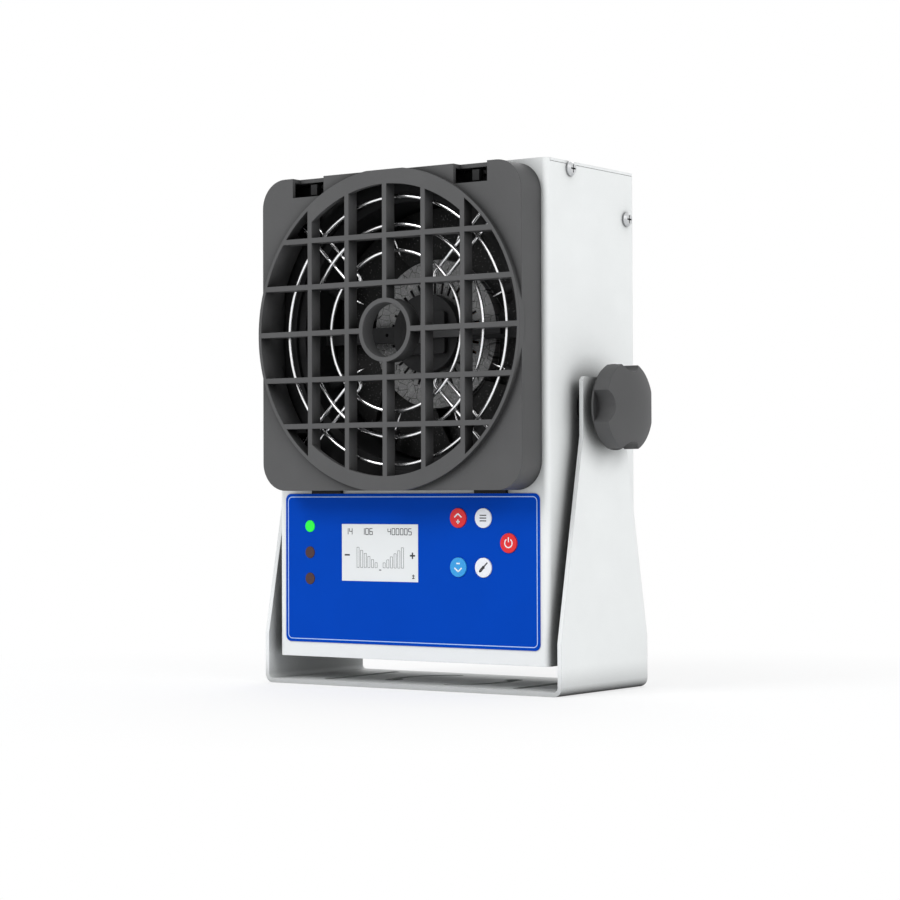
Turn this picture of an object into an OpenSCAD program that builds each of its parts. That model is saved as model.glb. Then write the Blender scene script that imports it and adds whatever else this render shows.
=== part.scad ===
// Benchtop ionizing blower on a tilting yoke.
// Millimetres. +X is the viewer's right when facing the air outlet, the outlet
// blows towards -Y, +Z is up. The origin is the middle of the yoke's footprint
// on the bench; the tilt axis runs along X straight above it.

/* [Housing] */
// Width of the housing across its side walls
housing_w = 145; // [142:1:160]
// Depth of the housing from the front panel to the rear panel
housing_d = 70; // [70:1:80]
// Height of the housing
housing_h = 215; // [212:1:225]
// Thickness of the housing's sheet steel
sheet_t = 1.2; // [1:0.1:1.4]
// Outer radius of the bends beside the front panel
bend_r = 2.5; // [2.2:0.1:3.5]
// Clearance between the two folded shells
shell_gap = 0.15; // [0.1:0.05:0.25]
// Distance from the front panel back to the tilt axis
tilt_from_front = 34; // [32:0.5:36]

/* [Yoke] */
// Air gap between the yoke's base and the bottom of the housing
bench_gap = 12.5; // [11:0.5:16]
// Thickness of the yoke's sheet steel
yoke_t = 2; // [1.6:0.1:2.4]
// Width of the gap between each side wall and its arm
arm_gap = 5.2; // [4.8:0.1:7]
// Depth of the base and of the foot of each arm
yoke_d = 70.6; // [68:0.2:74]
// Outer radius of the yoke's two bends
yoke_bend_r = 4; // [3.5:0.5:6]
// Depth of the arm at its top
arm_top_d = 34.6; // [32:0.2:40]
// Height at which the arm's taper starts
knee_z = 22.5; // [18:0.5:26]
// Height at which the arm's taper ends
taper_top_z = 110; // [100:1:112]
// Height of the tilt axis above the bench
tilt_z = 122.4; // [121.5:0.1:123.5]
// Height of the arm above the tilt axis
arm_over_axis = 12.8; // [12:0.2:16]
// Distance between the two straight bench slots
slot_pitch = 102; // [98:1:110]
// Overall length of a straight bench slot
slot_len = 54; // [40:1:56]
// Width of the bench slots
slot_w = 4.5; // [4:0.1:5.5]
// Radius of the circle that the arc slots follow
arc_r = 27; // [25:0.5:28]
// Radius of the keyhole at the end of each arc slot
keyhole_r = 4.25; // [4:0.05:4.6]
// Angle at which the right arc slot starts
arc_from = -60; // [-62:1:-50]
// Angle of the keyhole that ends the right arc slot
arc_to = 28; // [20:1:30]

/* [Knobs] */
// Radius of the knob's lobes
knob_r = 19.2; // [18.4:0.1:20.5]
// Radius of each finger hollow
scallop_r = 8.6; // [8:0.1:9]
// Distance from the axis to the bottom of a finger hollow
scallop_at = 14.8; // [14:0.1:15.5]
// Thickness of the knob's lobed rim
knob_rim = 7.1; // [6:0.1:9]
// Rise of the domed face above the rim
knob_dome = 4.5; // [3.5:0.1:5]
// Radius of the knob's round flange
flange_r = 18.5; // [17.5:0.1:19]
// Thickness of the knob's round flange
flange_t = 1; // [0.8:0.1:2]
// Length of the knob's neck
neck_len = 3; // [2:0.1:5]
// Radius of the knob's neck
neck_r = 9.5; // [8.6:0.1:11]
// Thickness of the steel washer under the knob
washer_t = 1.6; // [1.2:0.1:2]
// Radius of the threaded stud
stud_r = 2.95; // [2.5:0.05:3]
// Radial clearance round the stud
stud_clear = 0.35; // [0.25:0.05:0.5]

/* [Air path] */
// Distance from the top of the housing down to the fan axis
fan_down = 71.1; // [70.5:0.1:71.5]
// Least wall of the fan, emitter frame and intake ring beside the duct
duct_wall = 3; // [2.8:0.1:3.2]
// Distance between the fan's mounting holes
fan_pitch = 105; // [104:0.5:106]
// Radius of the air duct
duct_r = 57; // [56.5:0.1:57.5]
// Depth of the fan
fan_d = 38; // [37:0.5:39]
// Depth of the emitter frame
emitter_d = 18; // [17.8:0.1:19]
// Radius of the mounting screws
screw_r = 1.95; // [1.8:0.05:2]
// Radial clearance of the screw holes
screw_clear = 0.25; // [0.2:0.05:0.3]

/* [Grille] */
// Side of the square push-on grille
grille_side = 139; // [138:0.5:140]
// Depth of the grille from its face to the front panel
grille_d = 15.1; // [14.5:0.1:17]
// Corner radius of the grille
grille_corner = 12.5; // [11:0.5:13]
// Wall of the grille
grille_wall = 1.8; // [1.6:0.1:2]
// Outer radius of the raised ring
ring_r = 70.2; // [69.8:0.1:70.6]
// Rise of the ring above the face
ring_rise = 2.4; // [2:0.1:3]
// Wall of the raised ring
ring_wall = 1.5; // [1.2:0.1:1.8]
// Inner radius of the top and bottom lips
lip_r = 63.3; // [62:0.1:64.5]
// Distance between neighbouring bars
bar_pitch = 20.5; // [20:0.1:21]
// Bars on each side of the middle
bars_each_side = 2; // [1:1:2]
// Width of a bar
bar_w = 2.3; // [1.8:0.1:3]
// Depth of a bar
bar_d = 6; // [4:0.1:7]
// Outer radius of the open ring in the middle
eye_r = 13.9; // [12:0.1:16]
// Wall of the open ring in the middle
eye_wall = 2; // [1.5:0.1:2.5]
// Depth of the open ring in the middle
eye_d = 7.5; // [6.5:0.1:8]
// Distance from the middle to the inner edge of a clip window
clip_x = 35; // [34:0.5:36]
// Width of a clip window
clip_w = 17.3; // [15:0.1:18]
// Height of a clip window below the grille's top edge
clip_h = 8.6; // [8:0.1:9]
// Depth of the notch in the grille's top wall
notch_d = 5; // [4:0.1:6]

/* [Wire guard] */
// Diameter of the guard's wire
wire_d = 1.8; // [1.7:0.1:2]
// Radius of the outer wire ring
wire_ring_1 = 58.5; // [57:0.1:60]
// Radius of the middle wire ring
wire_ring_2 = 46.3; // [44:0.1:48]
// Radius of the inner wire ring
wire_ring_3 = 35; // [33:0.1:38]
// Distance from the front panel to the middle of the rings
wire_out = 9.5; // [9:0.1:10]
// Half the distance between the two wires of a leg
leg_half = 3; // [2.95:0.05:3.2]
// Distance from the fan axis to the inner bend of a leg
leg_in = 24; // [20:0.5:28]

/* [Emitters and brush] */
// Number of emitter needles
needle_n = 8; // [8:4:8]
// Distance from the fan axis to a needle's point
needle_tip = 38; // [37:0.1:39]
// Radius of a needle
needle_r = 0.6; // [0.5:0.05:0.8]
// Distance from the fan axis to the mouth of a needle socket
socket_in = 46; // [45:0.1:48]
// Radius of a needle socket
socket_r = 2.4; // [1.8:0.1:2.6]
// Radius of the middle hub
hub_r = 17.5; // [16:0.1:19]
// Height of the two struts
strut_h = 7; // [6:0.1:8]
// Distance from the front panel to the hub's face
hub_in = 13; // [12.8:0.1:13.4]
// Thickness of the hub
hub_t = 4.5; // [4:0.1:4.8]
// Thickness of a strut
strut_t = 2.4; // [2:0.1:2.5]
// Radius of the brush spindle
spindle_r = 2.4; // [2:0.1:3]
// Radial clearance of turning spindles
running_clear = 0.04; // [0.03:0.01:0.08]

/* [Fan] */
// Number of fan blades
blade_n = 7; // [5:1:9]
// Radius of the impeller's hub
impeller_hub_r = 33; // [32.5:0.1:34]
// Radial clearance between the blade tips and the duct
tip_clear = 1; // [0.8:0.1:1.5]
// Thickness of a blade
blade_t = 1.6; // [1.2:0.1:2]
// Angle of a blade against the fan's face
blade_tilt = 38; // [34:1:42]
// Radius of the curve of a blade's section
blade_camber = 60; // [50:1:80]
// Number of vent slots in the impeller's hub
vent_n = 32; // [24:1:36]
// Radius of the fan shaft
shaft_r = 2; // [1.8:0.1:2.5]

/* [Rear filter] */
// Width that the filter holder laps past the fan on each side
filter_lap = 3.8; // [3:0.1:5]
// Thickness of the filter holder's base
filter_base_t = 4; // [3:0.5:5]
// Depth of the filter holder's push-on cover
filter_cover_d = 9.9; // [8.5:0.1:12]
// Thickness of the filter foam
foam_t = 6; // [5:0.1:6.2]

/* [Panel] */
// Width of the panel film
film_w = 137; // [134:1:139]
// Distance between the panel film and the grille above it
film_gap = 1.4; // [1.1:0.1:2.4]
// Distance from the housing's bottom edge to the film
film_up = 6.5; // [6:0.1:7]
// Thickness of the panel film
film_t = 0.3; // [0.2:0.05:0.4]
// Width of the display window
lcd_w = 41.9; // [40:0.1:43]
// Height of the display window
lcd_h = 25.3; // [24:0.1:26]
// Radius of a key
key_r = 4.2; // [3.8:0.1:4.4]
// Rise of a key above the film
key_rise = 0.5; // [0.4:0.1:0.8]
// Travel of a key
key_travel = 0.4; // [0.3:0.05:0.5]
// Clearance round a key
key_clear = 0.15; // [0.1:0.05:0.25]
// Radius of an indicator lamp
lamp_r = 2.6; // [2.2:0.1:2.8]
// Distance between neighbouring indicator lamps
lamp_pitch = 11.75; // [10:0.25:12]

/* [Side screws] */
// Radius of the head of a side screw
head_r = 3.2; // [2.8:0.1:3.4]
// Height of the head of a side screw
head_h = 2; // [1.6:0.1:2.2]
// Distance from the top or bottom edge to the front pair of screws
edge_up = 3.3; // [3.2:0.1:5]
// Distance from the front panel to the front pair of screws
front_in = 18; // [16:0.5:24]
// Distance from the rear edge to the rear pair of screws
rear_in = 5.7; // [5:0.1:7]
// Distance from the top or bottom edge to the rear pair of screws
rear_up = 21; // [18:0.5:30]

/* [Hidden] */
$fn = 64;

// Main planes of the housing
front_y = -tilt_from_front;
rear_y = front_y + housing_d;
bottom_z = bench_gap;
top_z = bench_gap + housing_h;
half_w = housing_w / 2;
inner_half_w = half_w - sheet_t;
panel_back_y = front_y + sheet_t;

// Fan axis and the stack of frames behind the front panel
fan_z = top_z - fan_down;
fan_side = 2 * (duct_r + duct_wall);
filter_side = fan_side + 2 * filter_lap;
film_h = fan_z - grille_side / 2 - film_gap - bottom_z - film_up;
bolt = fan_pitch / 2;
emitter_back_y = panel_back_y + emitter_d;
fan_back_y = emitter_back_y + fan_d;
intake_back_y = rear_y - sheet_t;
hole_r = screw_r + screw_clear;

// Yoke and pivot
arm_in_x = half_w + arm_gap;
arm_out_x = arm_in_x + yoke_t;
arm_top_z = tilt_z + arm_over_axis;
slide_gap = 0.1;
stud_hole_r = stud_r + stud_clear;
nut_len = 8;
nut_r = 5.5;
spacer_r = 11;
washer_r = 9;

// Knob, measured outwards from the arm
neck_x = arm_out_x + washer_t + slide_gap;
flange_x = neck_x + neck_len;
lobe_x = flange_x + flange_t;
rim_x = lobe_x + knob_rim;
knob_bore_d = 8;
dome_sphere_r = (knob_r * knob_r + knob_dome * knob_dome) / (2 * knob_dome);

// Grille
face_y = front_y - grille_d;
ring_y = face_y - ring_rise;
opening_r = ring_r - ring_wall;
bar_reach = bars_each_side * bar_pitch + bar_w / 2;
lip_t = 2.5;
grille_top_z = fan_z + grille_side / 2;
base_clear = 0.5;
base_side = grille_side - 2 * grille_wall - 2 * base_clear;
base_t = 2;
base_bore_r = 61;
boss_r = 6;
hook_w = 3.5;
hook_h = 3;
hook_in = 4.2;

// Wire guard
wire_r = wire_d / 2;
rings_y = front_y - wire_out;
weld = 0.1;
legs_y = rings_y + wire_d - weld;
boss_top_y = legs_y + wire_r;
guard_head_y = legs_y - wire_r;
guard_head_t = 2.6;
guard_clear = 0.6;

// Emitters and brush
hub_y = front_y + hub_in;
hub_back_y = hub_y + hub_t;
needle_y = hub_y + 1.4;
strut_y = hub_back_y - strut_t;
gearbox_t = 2.5;
gearbox_w = 24;
gearbox_h = 18.8;
gearbox_y = hub_y - gearbox_t;
brush_t = 1.6;
brush_back_y = gearbox_y - 0.6;
brush_y = brush_back_y - brush_t;
brush_w = 5;
lever_reach = 24;
brush_reach = 43;
tuft_from = 34.5;
tuft_pitch = 1.6;
tuft_gap = 0.5;

// Fan
impeller_r = duct_r - tip_clear;
impeller_y = emitter_back_y + 1.2;
impeller_len = 29;
blade_root = 15;
cup_wall = 2;
cup_front = 2.5;
stator_r = 26.4;
stator_y = impeller_y + cup_front + 6;
spider_t = 5;
spider_y = fan_back_y - spider_t;
bearing_r = 6;
bearing_len = 4;
shaft_back_y = spider_y - 2;

// Rear filter
cover_wall = 2;
cover_inner_y = rear_y + filter_base_t + filter_cover_d - cover_wall;

// Panel
film_z = bottom_z + film_up + film_h / 2;
lcd_x = -15.7;
lcd_z = film_z + 7.2;
key_row = 10.6;
key_z = lcd_z + 4.9;
key_col = 13.05;
key_x0 = 26.8;
keys = [[key_x0, key_z + key_row], [key_x0 + key_col, key_z + key_row],
    [key_x0 + 2 * key_col, key_z],
    [key_x0, key_z - key_row], [key_x0 + key_col, key_z - key_row]];
key_skirt_y = panel_back_y + 0.2;
key_skirt_t = 0.8;
key_back_y = key_skirt_y + key_skirt_t;
lamp_x = -54.6;
lamp_z = film_z + 7;
board_y = front_y + 7;
board_t = 1.6;
board_w = 126;
board_in = 3.25;
board_h = film_h - 2 * board_in;
post_x = board_w / 2 - 4;
post_z = board_h / 2 - 4;
board_z = film_z;

// Rear panel fittings
fitting_z = bottom_z + 27;
inlet_x = -40;
switch_x = 0;
stud_x = 36;
inlet_w = 27;
inlet_h = 19.6;
switch_w = 19;
switch_h = 12.8;
ground_r = 2.5;
rocker_rest = 8;

// ---------- shared shapes ----------

module rounded_square(w, h, r) {
    square([w - 2 * r, h], center = true);
    square([w, h - 2 * r], center = true);
    for (x = [-1, 1], y = [-1, 1])
        translate([x * (w / 2 - r), y * (h / 2 - r)]) circle(r = r);
}

// Extrudes a shape drawn in X and Z from y0 to y1
module sheet_y(y0, y1, z = 0, x = 0)
    translate([x, y1, z]) rotate([90, 0, 0]) linear_extrude(y1 - y0) children();

module rod_y(r, y0, y1, x = 0, z = 0)
    translate([x, y0, z]) rotate([-90, 0, 0]) cylinder(r = r, h = y1 - y0);

module rod_x(r, x0, x1, y = 0, z = 0)
    translate([x0, y, z]) rotate([0, 90, 0]) cylinder(r = r, h = x1 - x0);

module block(x0, x1, y0, y1, z0, z1)
    translate([x0, y0, z0]) cube([x1 - x0, y1 - y0, z1 - z0]);

module at_bolts()
    for (x = [-bolt, bolt], z = [fan_z - bolt, fan_z + bolt])
        translate([x, 0, z]) children();

module both_sides()
    for (side = [0, 1]) mirror([side, 0, 0]) children();

// Pan head with a cross recess; the head rises along +Z from z = 0
module pan_head(r, h) {
    difference() {
        union() {
            cylinder(r = r, h = h * 0.45);
            translate([0, 0, h * 0.45]) cylinder(r1 = r, r2 = r * 0.72, h = h * 0.55);
        }
        for (turn = [0, 90]) rotate(turn)
            translate([-r * 0.55, -r * 0.1, h * 0.5]) cube([r * 1.1, r * 0.2, h]);
    }
}

// Frame with a round duct and four bolt holes
module duct_frame(y0, y1, corner, bore) {
    difference() {
        sheet_y(y0, y1, fan_z) rounded_square(fan_side, fan_side, corner);
        rod_y(bore, y0 - 1, y1 + 1, 0, fan_z);
        at_bolts() rod_y(hole_r, y0 - 1, y1 + 1);
    }
}

// ---------- yoke and knobs ----------

module arm_outline() {
    half_foot = yoke_d / 2;
    half_top = arm_top_d / 2;
    polygon([[-half_foot, 0], [half_foot, 0], [half_foot, knee_z],
        [half_top, taper_top_z], [half_top, arm_top_z - 1.5], [half_top - 1.5, arm_top_z],
        [1.5 - half_top, arm_top_z], [-half_top, arm_top_z - 1.5], [-half_top, taper_top_z],
        [-half_foot, knee_z]]);
}

module yoke_profile(w, h, r) {
    translate([-w / 2, r]) square([w, h - r]);
    translate([r - w / 2, 0]) square([w - 2 * r, h]);
    for (x = [-1, 1]) translate([x * (w / 2 - r), r]) circle(r = r);
}

module arc_slot(from, to) {
    rotate([0, 0, from]) rotate_extrude(angle = to - from)
        translate([arc_r - slot_w / 2, -1]) square([slot_w, yoke_t + 2]);
    rotate([0, 0, from]) translate([arc_r, 0, -1])
        cylinder(r = slot_w / 2, h = yoke_t + 2);
    rotate([0, 0, to]) translate([arc_r, 0, -1])
        cylinder(r = keyhole_r, h = yoke_t + 2);
}

module straight_slot(x) {
    run = slot_len / 2 - slot_w / 2;
    block(x - slot_w / 2, x + slot_w / 2, -run, run, -1, yoke_t + 1);
    for (y = [-run, run]) translate([x, y, -1]) cylinder(r = slot_w / 2, h = yoke_t + 2);
}

module yoke() {
    color([0.92, 0.93, 0.93]) difference() {
        intersection() {
            translate([0, yoke_d / 2, 0]) rotate([90, 0, 0]) linear_extrude(yoke_d)
                difference() {
                    yoke_profile(2 * arm_out_x, arm_top_z, yoke_bend_r);
                    translate([0, yoke_t])
                        yoke_profile(2 * arm_in_x, arm_top_z, yoke_bend_r - yoke_t);
                }
            translate([-arm_out_x - 1, 0, 0]) rotate([90, 0, 90])
                linear_extrude(2 * arm_out_x + 2) arm_outline();
        }
        for (turn = [0, 180]) rotate([0, 0, turn]) arc_slot(arc_from, arc_to);
        both_sides() straight_slot(slot_pitch / 2);
        both_sides() rod_x(stud_hole_r, arm_in_x - 1, arm_out_x + 1, 0, tilt_z);
    }
}

module knob() {
    color([0.33, 0.33, 0.33]) difference() {
        union() {
            rod_x(neck_r, neck_x, flange_x, 0, tilt_z);
            rod_x(flange_r, flange_x, lobe_x, 0, tilt_z);
            translate([lobe_x, 0, tilt_z]) rotate([90, 0, 90]) intersection() {
                linear_extrude(knob_rim + knob_dome) difference() {
                    circle(r = knob_r);
                    for (turn = [0 : 90 : 270]) rotate(turn)
                        translate([scallop_at + scallop_r, 0]) circle(r = scallop_r);
                }
                rotate_extrude() difference() {
                    square([knob_r, knob_rim + knob_dome]);
                    difference() {
                        translate([0, knob_rim]) square([knob_r + 1, knob_dome + 1]);
                        translate([0, knob_rim + knob_dome - dome_sphere_r])
                            circle(r = dome_sphere_r, $fn = 128);
                    }
                }
            }
        }
        rod_x(stud_r, neck_x - 1, lobe_x + knob_bore_d - neck_len, 0, tilt_z);
    }
}

module knob_right() knob();
module knob_left() mirror([1, 0, 0]) knob();

module stud()
    color([0.75, 0.76, 0.77])
        rod_x(stud_r, half_w - sheet_t - nut_len + 1, lobe_x + knob_bore_d - neck_len, 0, tilt_z);

module stud_right() stud();
module stud_left() mirror([1, 0, 0]) stud();

module ring_x(r, bore, x0, x1) {
    difference() {
        rod_x(r, x0, x1, 0, tilt_z);
        rod_x(bore, x0 - 1, x1 + 1, 0, tilt_z);
    }
}

module knob_washers()
    color([0.75, 0.76, 0.77]) both_sides()
        ring_x(washer_r, stud_hole_r, arm_out_x, arm_out_x + washer_t);

module tilt_spacers()
    color([0.12, 0.12, 0.12]) both_sides()
        ring_x(spacer_r, stud_hole_r, half_w, arm_in_x - slide_gap);

module pivot_nuts()
    color([0.7, 0.7, 0.72]) both_sides()
        ring_x(nut_r, stud_r + running_clear, inner_half_w - nut_len, inner_half_w);

// ---------- housing ----------

// Plan of the folded front shell: front wall, two bends and two side walls
module front_shell_plan(half, depth, r) {
    translate([-half, r]) square([2 * half, depth - r]);
    translate([r - half, 0]) square([2 * half - 2 * r, depth]);
    for (x = [-1, 1]) translate([x * (half - r), r]) circle(r = r);
}

// Places of the side screws as distance from the front panel and height
side_screw_places = [[front_in, top_z - edge_up], [front_in, bottom_z + edge_up],
    [housing_d - rear_in, top_z - rear_up], [housing_d - rear_in, bottom_z + rear_up]];
side_shank_r = 1.45;

module side_screw_holes()
    both_sides() for (place = side_screw_places)
        rod_x(side_shank_r + 0.15, inner_half_w - sheet_t - 1, half_w + 1,
            front_y + place[0], place[1]);

module front_shell() {
    inner_r = bend_r - sheet_t;
    color([0.92, 0.93, 0.93]) difference() {
        translate([0, front_y, bottom_z]) linear_extrude(housing_h) difference() {
            front_shell_plan(half_w, housing_d, bend_r);
            translate([0, sheet_t]) front_shell_plan(inner_half_w, housing_d, inner_r);
        }
        block(-half_w - 1, half_w + 1, front_y + bend_r, rear_y + 1,
            top_z - sheet_t - shell_gap, top_z + 1);
        rod_y(duct_r + 1, front_y - 1, panel_back_y + 1, 0, fan_z);
        at_bolts() rod_y(hole_r, front_y - 1, panel_back_y + 1);
        sheet_y(front_y - 1, panel_back_y + 1, lcd_z, lcd_x)
            square([lcd_w + 0.4, lcd_h + 0.4], center = true);
        for (key = keys)
            rod_y(key_r + key_clear, front_y - 1, panel_back_y + 1, key[0], key[1]);
        for (k = [-1 : 1])
            rod_y(lamp_r + 0.1, front_y - 1, panel_back_y + 1, lamp_x, lamp_z + k * lamp_pitch);
        side_screw_holes();
        both_sides() rod_x(stud_hole_r, inner_half_w - 1, half_w + 1, 0, tilt_z);
    }
}

module rear_shell() {
    inner = inner_half_w - shell_gap;
    seat_y = panel_back_y + shell_gap;
    low_z = bottom_z + 0.5;
    tab_len = 16;
    tab_h = 9;
    color([0.92, 0.93, 0.93]) difference() {
        union() {
            block(-inner, inner, seat_y, rear_y, top_z - sheet_t, top_z);
            block(-half_w, half_w, front_y + bend_r + shell_gap, rear_y, top_z - sheet_t, top_z);
            block(-inner, inner, rear_y - sheet_t, rear_y, low_z, top_z);
            block(-inner, inner, seat_y, rear_y, low_z, low_z + sheet_t);
            both_sides() {
                block(inner - sheet_t, inner, rear_y - 2 * rear_in, rear_y, low_z, top_z);
                for (z = [low_z, top_z - tab_h])
                    block(inner - sheet_t, inner, front_y + front_in - tab_len / 2,
                        front_y + front_in + tab_len / 2, z, z + tab_h);
            }
        }
        rod_y(duct_r + 0.5, rear_y - sheet_t - 1, rear_y + 1, 0, fan_z);
        at_bolts() rod_y(hole_r, rear_y - sheet_t - 1, rear_y + 1);
        fitting_hole(inlet_x, inlet_w, inlet_h);
        fitting_hole(switch_x, switch_w, switch_h);
        rod_y(ground_r + 0.2, rear_y - sheet_t - 1, rear_y + 1, stud_x, fitting_z);
        side_screw_holes();
    }
}

module fitting_hole(x, w, h)
    sheet_y(rear_y - sheet_t - 1, rear_y + 1, fitting_z, x)
        square([w + 0.2, h + 0.2], center = true);

module side_screws() {
    color([0.85, 0.85, 0.86]) both_sides() for (place = side_screw_places)
        translate([half_w, front_y + place[0], place[1]]) rotate([0, 90, 0]) {
            pan_head(head_r, head_h);
            translate([0, 0, -5]) cylinder(r = side_shank_r, h = 5);
        }
}

// ---------- grille and wire guard ----------

module grille_bars() {
    for (k = [-bars_each_side : bars_each_side]) {
        block(k * bar_pitch - bar_w / 2, k * bar_pitch + bar_w / 2,
            ring_y, ring_y + bar_d, fan_z - ring_r, fan_z + ring_r);
        block(-ring_r, ring_r, ring_y, ring_y + bar_d,
            fan_z + k * bar_pitch - bar_w / 2, fan_z + k * bar_pitch + bar_w / 2);
    }
}

module grille_lips()
    difference() {
        block(-bar_reach, bar_reach, ring_y, ring_y + lip_t, fan_z - ring_r, fan_z + ring_r);
        rod_y(lip_r, ring_y - 1, ring_y + lip_t + 1, 0, fan_z);
    }

module front_grille() {
    inside = grille_side - 2 * grille_wall;
    color([0.33, 0.33, 0.34]) {
        difference() {
            union() {
                difference() {
                    sheet_y(face_y, front_y, fan_z)
                        rounded_square(grille_side, grille_side, grille_corner);
                    sheet_y(face_y + grille_wall, front_y + 1, fan_z)
                        rounded_square(inside, inside, grille_corner - grille_wall);
                }
                intersection() {
                    rod_y(ring_r, ring_y, front_y - 4, 0, fan_z);
                    union() {
                        block(-ring_r, ring_r, ring_y, face_y + 1,
                            fan_z - grille_side / 2, fan_z + grille_side / 2);
                        sheet_y(face_y, front_y - 4, fan_z)
                            rounded_square(grille_side, grille_side, grille_corner);
                    }
                }
            }
            rod_y(opening_r, ring_y - 1, front_y + 1, 0, fan_z);
            both_sides() block(clip_x, clip_x + clip_w, face_y - 1, face_y + notch_d,
                grille_top_z - clip_h, grille_top_z + 1);
            both_sides() block(clip_x, clip_x + clip_w + 1, front_y - base_t - 1,
                front_y + 1, fan_z - grille_side / 2 - 1, fan_z - base_side / 2);
            for (turn = [45 : 90 : 315]) translate([0, 0, fan_z]) rotate([0, turn, 0])
                block(opening_r - 2, ring_r + 2, guard_head_y - guard_head_t - guard_clear,
                    front_y + 1, -boss_r - guard_clear, boss_r + guard_clear);
        }
        intersection() {
            rod_y(opening_r + 0.5, ring_y, front_y, 0, fan_z);
            union() {
                difference() {
                    union() {
                        grille_bars();
                        grille_lips();
                        rod_y(eye_r, ring_y, ring_y + eye_d, 0, fan_z);
                    }
                    rod_y(eye_r - eye_wall, ring_y - 1, ring_y + eye_d + 1, 0, fan_z);
                }
            }
        }
    }
}

module grille_base() {
    finger_top = base_side / 2 - 0.5;
    color([0.1, 0.1, 0.1]) {
        difference() {
            union() {
                sheet_y(front_y - base_t, front_y, fan_z)
                    rounded_square(base_side, base_side, grille_corner - grille_wall);
                at_bolts() rod_y(boss_r, boss_top_y, front_y);
            }
            rod_y(base_bore_r, boss_top_y - 1, front_y + 1, 0, fan_z);
            at_bolts() rod_y(hole_r, boss_top_y - 1, front_y + 1);
        }
        both_sides() translate([clip_x + clip_w / 2, 0, fan_z + finger_top]) {
            block(-hook_w, hook_w, face_y + hook_in + hook_h, front_y - base_t, -1.6, 0);
            block(-hook_w / 2, hook_w / 2, face_y + hook_in, face_y + hook_in + hook_h,
                -hook_h - 1.6, 0);
        }
        both_sides() block(clip_x + 1, clip_x + clip_w, front_y - base_t, front_y,
            fan_z - grille_side / 2 - 1.3, fan_z - base_side / 2 + 1);
    }
}

module wire_ring(r)
    translate([0, rings_y, fan_z]) rotate([90, 0, 0]) rotate_extrude()
        translate([r, 0]) circle(r = wire_r, $fn = 24);

// One leg: two parallel wires closed by a half ring at each end
module wire_leg() {
    far = bolt * sqrt(2);
    for (side = [-1, 1]) translate([leg_in, side * leg_half, 0]) rotate([0, 90, 0])
        cylinder(r = wire_r, h = far - leg_in, $fn = 24);
    translate([far, 0, 0]) rotate([0, 0, -90]) rotate_extrude(angle = 180)
        translate([leg_half, 0]) circle(r = wire_r, $fn = 24);
    translate([leg_in, 0, 0]) rotate([0, 0, 90]) rotate_extrude(angle = 180)
        translate([leg_half, 0]) circle(r = wire_r, $fn = 24);
}

module wire_guard()
    color([0.8, 0.8, 0.82]) union() {
        for (r = [wire_ring_1, wire_ring_2, wire_ring_3]) wire_ring(r);
        translate([0, legs_y, fan_z]) rotate([90, 0, 0])
            for (turn = [45 : 90 : 315]) rotate([0, 0, turn]) wire_leg();
    }

module guard_screws()
    color([0.75, 0.76, 0.77]) at_bolts() {
        rod_y(screw_r, guard_head_y, emitter_back_y + 8);
        translate([0, guard_head_y, 0]) rotate([90, 0, 0]) pan_head(screw_r * 2, guard_head_t);
    }

// ---------- emitters and cleaning brush ----------

module at_needles()
    for (k = [0 : needle_n - 1])
        translate([0, needle_y, fan_z]) rotate([0, -(k + 0.5) * 360 / needle_n, 0]) children();

module emitter_frame() {
    color([0.13, 0.13, 0.13]) difference() {
        union() {
            duct_frame(panel_back_y, emitter_back_y, 6, duct_r);
            rod_y(hub_r, hub_y, hub_back_y, 0, fan_z);
            both_sides() block(hub_r - 1, duct_r + 1, strut_y, hub_back_y,
                fan_z - strut_h / 2, fan_z + strut_h / 2);
            at_needles() rod_x(socket_r, socket_in, duct_r + 1);
        }
        at_needles() rod_x(needle_r, socket_in - 1, duct_r - 3);
        rod_y(spindle_r + running_clear, hub_y - 1, hub_back_y + 1, 0, fan_z);
        both_sides() rod_y(0.8, strut_y - 1, hub_back_y + 1, hub_r + 5.2, fan_z);
    }
}

module emitter_needles()
    color([0.8, 0.8, 0.82]) at_needles() {
        rod_x(needle_r, needle_tip + 3, duct_r - 3);
        translate([needle_tip, 0, 0]) rotate([0, 90, 0]) cylinder(r1 = 0.08, r2 = needle_r, h = 3);
    }

module brush_motor()
    color([0.16, 0.16, 0.17]) difference() {
        union() {
            sheet_y(gearbox_y, hub_y, fan_z) rounded_square(gearbox_w, gearbox_h, 1.5);
            rod_y(spindle_r + 3, gearbox_y - 0.4, gearbox_y, 0, fan_z);
        }
        rod_y(spindle_r + running_clear, gearbox_y - 1, hub_y + 1, 0, fan_z);
    }

module brush_arm()
    color([0.55, 0.56, 0.57]) {
        rod_y(spindle_r, brush_y, hub_back_y - 1, 0, fan_z);
        rod_y(spindle_r + 2, brush_y, brush_back_y, 0, fan_z);
        block(0, lever_reach, brush_y, brush_back_y, fan_z - brush_w / 2, fan_z + brush_w / 2);
    }

// A slim holder beyond the lever, with rows of bristles ending just short of the needles
module brush_tuft() {
    bristle_end = needle_y - needle_r - tuft_gap;
    color([0.12, 0.12, 0.12]) {
        block(lever_reach, brush_reach, brush_y, brush_back_y, fan_z - 2, fan_z + 2);
        for (x = [tuft_from : tuft_pitch : brush_reach - 1], z = [-1.2, 1.2])
            rod_y(0.55, brush_back_y - 0.5, bristle_end, x, fan_z + z);
    }
}

// ---------- fan ----------

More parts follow.
